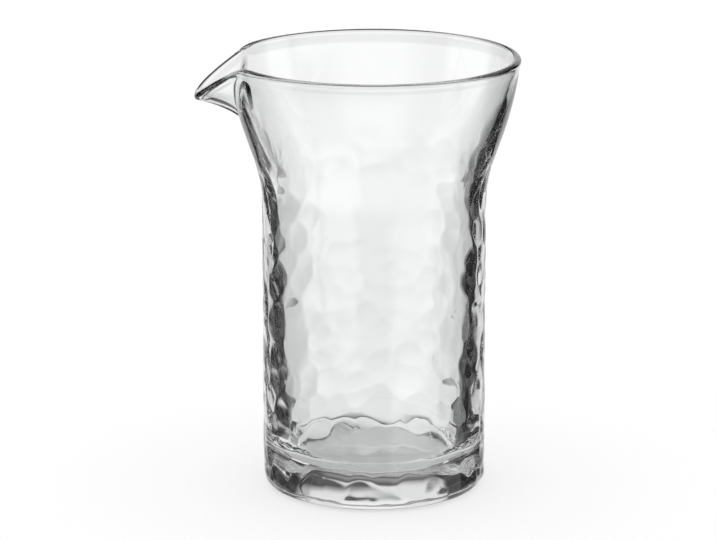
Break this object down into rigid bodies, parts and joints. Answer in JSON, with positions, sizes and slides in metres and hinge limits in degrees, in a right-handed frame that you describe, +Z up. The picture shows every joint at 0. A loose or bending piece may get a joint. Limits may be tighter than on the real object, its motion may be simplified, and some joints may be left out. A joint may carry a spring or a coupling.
{
  "type": "milk jug",
  "caption": "Small clear glass milk jug with a straight hammered body, heavy base, flared mouth, rounded rim and a drawn pouring spout.",
  "frame": {"origin": "centre of the flat underside, on the axis of the body", "axes": "+Z up along the axis of the body, with the spout pointing along -X"},
  "size_m": [0.0886, 0.0796, 0.12],
  "materials": {
    "clear_glass": "fire-polished, softly hammered outside"
  },
  "bodies": {
    "root": {"glass_jug": "clear_glass"}
  },
  "joints": []
}
